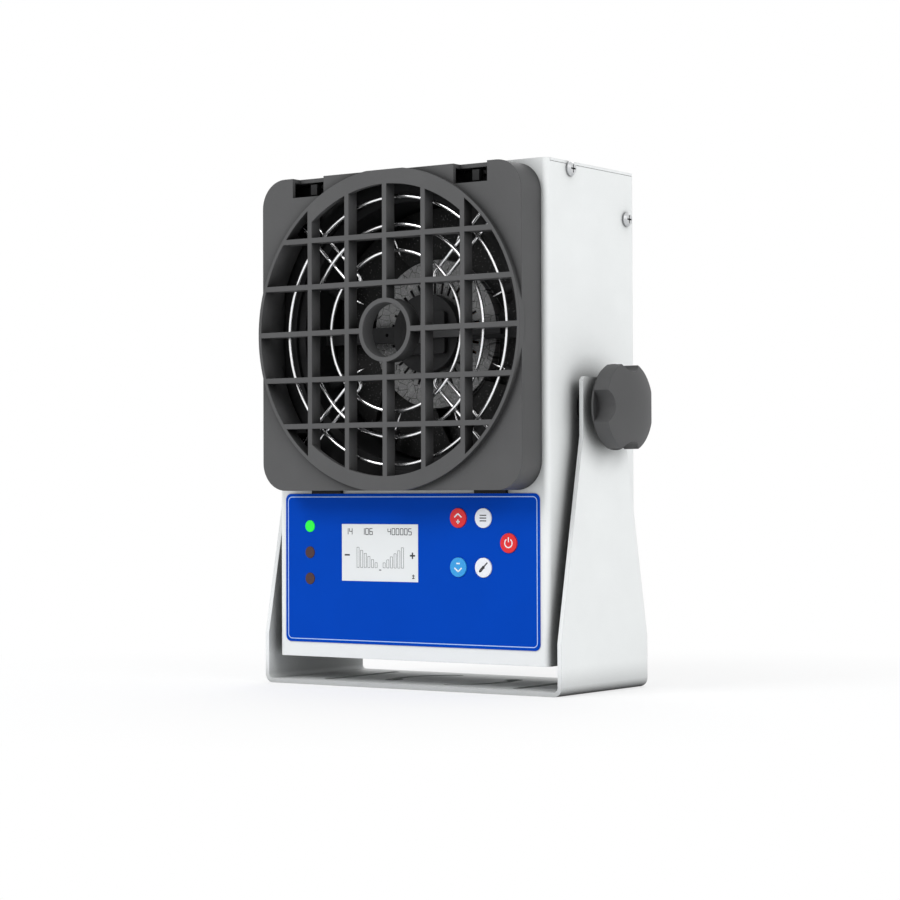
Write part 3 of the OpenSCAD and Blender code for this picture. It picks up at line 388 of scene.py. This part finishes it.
# %% Panel finishes
film_blue = finish("film_blue", (0.0003, 0.058, 0.47), 0.45, tint=0.02, grain=1500.0,
                   depth=0.00001, edge=0.0, specular=0.03)
dress(film_blue, "panel_film")
key_red = finish("key_red", (0.75, 0.006, 0.012), 0.35, tint=0.03, edge=0.0002)
dress(key_red, "key_up", "key_power")
key_white = finish("key_white", (0.84, 0.86, 0.9), 0.35, tint=0.01, edge=0.0002)
dress(key_white, "key_menu", "key_brush")
key_light_blue = finish("key_light_blue", (0.022, 0.33, 0.75), 0.35, tint=0.03, edge=0.0002)
dress(key_light_blue, "key_down")
lamp_green = finish("lamp_green", (0.005, 0.6, 0.03), 0.2, edge=0.0002)
glow = lamp_green.node_tree.nodes["Principled BSDF"]
glow.inputs["Emission Color"].default_value = (0.0, 1.0, 0.05, 1)
glow.inputs["Emission Strength"].default_value = 0.35
dress(lamp_green, "lamp_green")
lamp_red = finish("lamp_red", (0.05, 0.012, 0.015), 0.2, tint=0.15, edge=0.0002)
dress(lamp_red, "lamp_red_upper", "lamp_red_lower")
display = finish("display_face", (0.8, 0.82, 0.82), 0.3, tint=0.01, edge=0.0)
dress(display, "lcd_window", "lcd_module")

# %% [markdown]
# The rest is inside or behind: the green circuit board and the open-cell filter foam.

# %% Board and foam
board_green = finish("board_green", (0.02, 0.12, 0.05), 0.35, tint=0.15)
dress(board_green, "control_board")
foam_black = finish("foam_black", (0.03, 0.03, 0.033), 0.95, tint=0.4, grain=700.0,
                    depth=0.0008, strength=0.8, edge=0.0)
dress(foam_black, "filter_foam")

# %% [markdown]
# ## Pieces that need more than a finish
# Two helpers for such pieces. One writes a new object's place into its mesh, so that
# the object itself sits at the origin. The other joins objects into the first one.


# %% Helpers for new pieces
def settled():
    bpy.ops.object.transform_apply(location=True, rotation=True, scale=True)
    return bpy.context.object


def join(parts):
    bpy.ops.object.select_all(action="DESELECT")
    for part in parts:
        part.select_set(True)
    bpy.context.view_layer.objects.active = parts[0]
    if len(parts) > 1:
        bpy.ops.object.join()
    return bpy.context.object


print("helpers:", settled.__name__, join.__name__)

# %% [markdown]
# The guard is bright wire: three rings, with four double legs welded behind them. A
# torus makes each ring, a cylinder each straight wire, and half a torus each bend.
# The legs start just inside the smallest ring and end in the screw eyes.

# %% Wire guard
WIRE_R = 0.00085
WIRE_SIDES = 14
RINGS_Y = -0.0435
RING_RADII = (0.0585, 0.0463, 0.035)
LEGS_Y = RINGS_Y + 1.9 * WIRE_R
LEG_HALF = 0.003
LEG_FROM = 0.0325
LEG_TO = 0.07425


def wire_torus(radius, segments, place):
    bpy.ops.object.select_all(action="DESELECT")
    bpy.ops.mesh.primitive_torus_add(
        major_radius=radius, minor_radius=WIRE_R, major_segments=segments,
        minor_segments=WIRE_SIDES, location=place, rotation=(math.pi / 2, 0, 0))
    return settled()


def leg_wire(side):
    bpy.ops.object.select_all(action="DESELECT")
    bpy.ops.mesh.primitive_cylinder_add(
        vertices=WIRE_SIDES, radius=WIRE_R, depth=LEG_TO - LEG_FROM,
        location=((LEG_FROM + LEG_TO) / 2, LEGS_Y, FAN_Z + side * LEG_HALF),
        rotation=(0, math.pi / 2, 0))
    return settled()


def leg_bend(x, outward):
    bend = wire_torus(LEG_HALF, 32, (x, LEGS_Y, FAN_Z))
    bpy.ops.object.mode_set(mode="EDIT")
    bpy.ops.mesh.select_all(action="SELECT")
    bpy.ops.mesh.bisect(plane_co=(x, LEGS_Y, FAN_Z), plane_no=(-outward, 0, 0),
                        use_fill=True, clear_outer=True)
    bpy.ops.object.mode_set(mode="OBJECT")
    return bend


wires = [wire_torus(r, 160, (0, RINGS_Y, FAN_Z)) for r in RING_RADII]
for turn_deg in (45, 135, 225, 315):
    leg = join([leg_wire(-1), leg_wire(1), leg_bend(LEG_TO, 1), leg_bend(LEG_FROM, -1)])
    about = Matrix.Translation((0, 0, FAN_Z)) @ Matrix.Rotation(math.radians(turn_deg), 4, "Y")
    leg.data.transform(about @ Matrix.Translation((0, 0, -FAN_Z)))
    wires.append(leg)
guard = join(wires)
guard.name = "guard"
bpy.ops.object.shade_smooth_by_angle(angle=math.radians(40))
guard.data.materials.append(chrome)
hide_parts("wire_guard")
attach(guard, "housing_body")
print("guard faces:", len(guard.data.polygons), "size:", [round(v, 4) for v in guard.dimensions])

# %% [markdown]
# A black ring lines the outlet as painted shade: it keeps the sheet edge round the
# duct dark, so that no bright sheet edge shows there. A ring of edges is extruded
# inwards for the flange and back for the sleeve, and a Solidify modifier gives it its
# thickness.

# %% Outlet shade ring
SHADE_RING_OUT, SHADE_RING_IN = 0.0625, 0.0573
SHADE_RING_Y = -0.03405
SHADE_RING_DEPTH = 0.0012
SHADE_RING_SHEET = 0.00025
bpy.ops.object.select_all(action="DESELECT")
bpy.ops.mesh.primitive_circle_add(
    vertices=128, radius=SHADE_RING_OUT, location=(0, SHADE_RING_Y, FAN_Z), rotation=(math.pi / 2, 0, 0))
outlet_shade_ring = settled()
outlet_shade_ring.name = "outlet_shade_ring"
bpy.ops.object.mode_set(mode="EDIT")
bpy.ops.mesh.select_all(action="SELECT")
bpy.ops.mesh.extrude_edges_move()
bpy.ops.transform.resize(value=(SHADE_RING_IN / SHADE_RING_OUT, 1, SHADE_RING_IN / SHADE_RING_OUT),
                         center_override=(0, SHADE_RING_Y, FAN_Z))
bpy.ops.mesh.extrude_edges_move(TRANSFORM_OT_translate={"value": (0, SHADE_RING_DEPTH, 0)})
bpy.ops.mesh.select_all(action="SELECT")
bpy.ops.mesh.normals_make_consistent(inside=False)
bpy.ops.object.mode_set(mode="OBJECT")
thick = outlet_shade_ring.modifiers.new("thick", "SOLIDIFY")
thick.thickness = SHADE_RING_SHEET
thick.offset = 1.0
bpy.ops.object.modifier_apply(modifier="thick")
bpy.ops.object.shade_smooth_by_angle(angle=math.radians(40))
# The black plastic here is painted shade round the duct edge.
outlet_shade_ring.data.materials.append(black_plastic)
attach(outlet_shade_ring, "housing_body")
print("outlet trim:", [round(v, 4) for v in outlet_shade_ring.dimensions])

# %% [markdown]
# ## The printed panel
# What is printed on the film is modelled as very thin plates that stand 0.04 mm
# proud of it: the pale line inside the edge, the symbols on the keys and the figures
# on the display. One helper makes a straight stroke as a flat bar between two
# points, and several strokes are joined into one piece.

# %% Helper for a stroke
PRINT_T = 0.00004
MM = 0.001


def stroke(x0, z0, x1, z1, width, face_y):
    """A flat bar from (x0, z0) to (x1, z1), in millimetres, lying just before face_y."""
    length = math.hypot(x1 - x0, z1 - z0)
    bpy.ops.mesh.primitive_cube_add(
        size=1.0, location=((x0 + x1) / 2 * MM, face_y - PRINT_T / 2, (z0 + z1) / 2 * MM),
        rotation=(0, -math.atan2(z1 - z0, x1 - x0), 0),
        scale=(length * MM, PRINT_T, width * MM))
    return settled()


def joined(name, parts, mat, body):
    piece = join(parts)
    piece.name = name
    piece.data.materials.clear()
    piece.data.materials.append(mat)
    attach(piece, body)
    print(name, "faces:", len(piece.data.polygons))
    return piece


def strokes(name, lines, width, face_y, mat, body):
    bpy.ops.object.select_all(action="DESELECT")
    return joined(name, [stroke(*line, width, face_y) for line in lines], mat, body)


# %% [markdown]
# The pale line runs all round the film, 1.4 mm inside its edge, and turns the
# corners on a small radius. It is drawn as a ring of short strokes.

# %% Pale line round the film
film_low, film_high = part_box("panel_film")
FILM_Y = film_low[1]
ink_pale = finish("ink_pale", (0.45, 0.62, 0.9), 0.4, tint=0.02, edge=0.0)
ink_white = finish("ink_white", (0.85, 0.87, 0.9), 0.4, tint=0.01, edge=0.0)
ink_dark = finish("ink_dark", (0.025, 0.025, 0.03), 0.4, tint=0.05, edge=0.0)


def round_path(x0, x1, z0, z1, radius, steps=5):
    corners = ((x1 - radius, z1 - radius, 0), (x0 + radius, z1 - radius, 90),
               (x0 + radius, z0 + radius, 180), (x1 - radius, z0 + radius, 270))
    points = []
    for cx, cz, start in corners:
        for k in range(steps + 1):
            a = math.radians(start + 90 * k / steps)
            points.append((cx + radius * math.cos(a), cz + radius * math.sin(a)))
    return points


LINE_INSET = 1.4
LINE_CORNER = 2.0
LINE_WIDTH = 0.35
path = round_path(film_low[0] / MM + LINE_INSET, film_high[0] / MM - LINE_INSET,
                  film_low[2] / MM + LINE_INSET, film_high[2] / MM - LINE_INSET, LINE_CORNER)
lines = [(*path[k - 1], *path[k]) for k in range(len(path))]
strokes("film_line", lines, LINE_WIDTH, FILM_Y, ink_pale, "housing_body")


# %% [markdown]
# Symbols on the keys: a raised mark would wear off, so they are printed too. Each
# key's own box gives the middle of its symbol, so the symbol moves with the key.


# %% Key symbols
def key_symbol(name, node, body, lines, width, mat):
    low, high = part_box(node)
    cx, cz = (low[0] + high[0]) / 2 / MM, (low[2] + high[2]) / 2 / MM
    placed = [(cx + a, cz + b, cx + c, cz + d) for a, b, c, d in lines]
    strokes(name, placed, width, low[1], mat, body)


def arc(radius, start, end, steps):
    turns = [math.radians(start + (end - start) * k / steps) for k in range(steps + 1)]
    points = [(radius * math.cos(a), radius * math.sin(a)) for a in turns]
    return [(*points[k], *points[k + 1]) for k in range(steps)]


key_symbol("symbol_up", "key_up", "up_key_body",
           [(-1.9, 0.3, 0, 1.9), (0, 1.9, 1.9, 0.3), (-0.9, -1.6, 0.9, -1.6),
            (0, -2.5, 0, -0.7)], 0.6, ink_white)
key_symbol("symbol_down", "key_down", "down_key_body",
           [(-1.9, -0.3, 0, -1.9), (0, -1.9, 1.9, -0.3), (-0.9, 1.6, 0.9, 1.6)],
           0.6, ink_white)
key_symbol("symbol_power", "key_power", "power_key_body",
           arc(1.9, 125, 415, 12) + [(0, 0.4, 0, 2.5)], 0.5, ink_white)
key_symbol("symbol_menu", "key_menu", "menu_key_body",
           [(-1.7, 1.2, 1.7, 1.2), (-1.7, 0, 1.7, 0), (-1.7, -1.2, 1.7, -1.2)],
           0.45, ink_dark)
key_symbol("symbol_brush", "key_brush", "brush_key_body",
           [(2.2, 2.2, 0.2, 0.2), (-0.3, 0.7, 0.7, -0.3), (-0.2, 0.3, -1.6, -1.1),
            (0.2, -0.1, -1.1, -1.6), (-1.6, -1.1, -1.9, -1.9), (-1.1, -1.6, -1.9, -1.9)],
           0.6, ink_dark)

# %% [markdown]
# The display shows plain figures in seven strokes each, a minus and a plus mark and
# a bar graph in a V. Only numbers are shown.

# %% Display figures
SEGMENTS = {
    "a": (0, 1, 1, 1), "b": (1, 0.5, 1, 1), "c": (1, 0, 1, 0.5), "d": (0, 0, 1, 0),
    "e": (0, 0, 0, 0.5), "f": (0, 0.5, 0, 1), "g": (0, 0.5, 1, 0.5)}
DIGITS = {"0": "abcdef", "1": "bc", "2": "abged", "3": "abgcd", "4": "fgbc",
          "5": "afgcd", "6": "afgedc", "7": "abc", "8": "abcdefg", "9": "abcdfg"}
window_low, window_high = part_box("lcd_window")
WINDOW_Y = window_low[1]
left, right = window_low[0] / MM, window_high[0] / MM
floor_z, top_z = window_low[2] / MM, window_high[2] / MM


def figures(text, x, z, width=1.5, height=2.7, pitch=2.25):
    found = []
    for k, sign in enumerate(text):
        for part in DIGITS.get(sign, ""):
            a, b, c, d = SEGMENTS[part]
            x0 = x + k * pitch
            found.append((x0 + a * width, z + b * height, x0 + c * width, z + d * height))
    return found


row_z = top_z - 4.6
lines = figures("14", left + 2.0, row_z) + figures("106", left + 11.0, row_z)
lines += figures("400005", left + 25.5, row_z)
strokes("display_figures", lines, 0.32, WINDOW_Y, ink_dark, "housing_body")

# %% [markdown]
# The bar graph: open bars that shorten towards the middle, with a small mark under
# the lowest pair.

# %% Display bar graph
graph_mid = (left + right) / 2 + 0.3
graph_low = floor_z + 6.0
lines = []
for side in (-1, 1):
    for k in range(6):
        near = graph_mid + side * (1.6 + k * 2.0)
        far = near + side * 1.2
        tall = graph_low + 2.2 + k * 1.35
        lines += [(near, graph_low, near, tall), (far, graph_low, far, tall),
                  (near, tall, far, tall), (near, graph_low, far, graph_low)]
strokes("display_bars", lines, 0.16, WINDOW_Y, ink_dark, "housing_body")
mark_z = floor_z + 11.5
lines = [(left + 1.6, mark_z, left + 4.4, mark_z), (right - 4.4, mark_z, right - 1.6, mark_z),
         (right - 3.0, mark_z - 1.4, right - 3.0, mark_z + 1.4)]
strokes("display_signs", lines, 0.7, WINDOW_Y, ink_dark, "housing_body")
lines = [(graph_mid - 0.6, graph_low - 1.0, graph_mid + 0.6, graph_low - 1.0),
         (right - 3.2, floor_z + 1.6, right - 1.9, floor_z + 1.6),
         (right - 3.2, floor_z + 2.7, right - 1.9, floor_z + 2.7),
         (right - 2.55, floor_z + 1.6, right - 2.55, floor_z + 3.3)]
strokes("display_marks", lines, 0.4, WINDOW_Y, ink_dark, "housing_body")
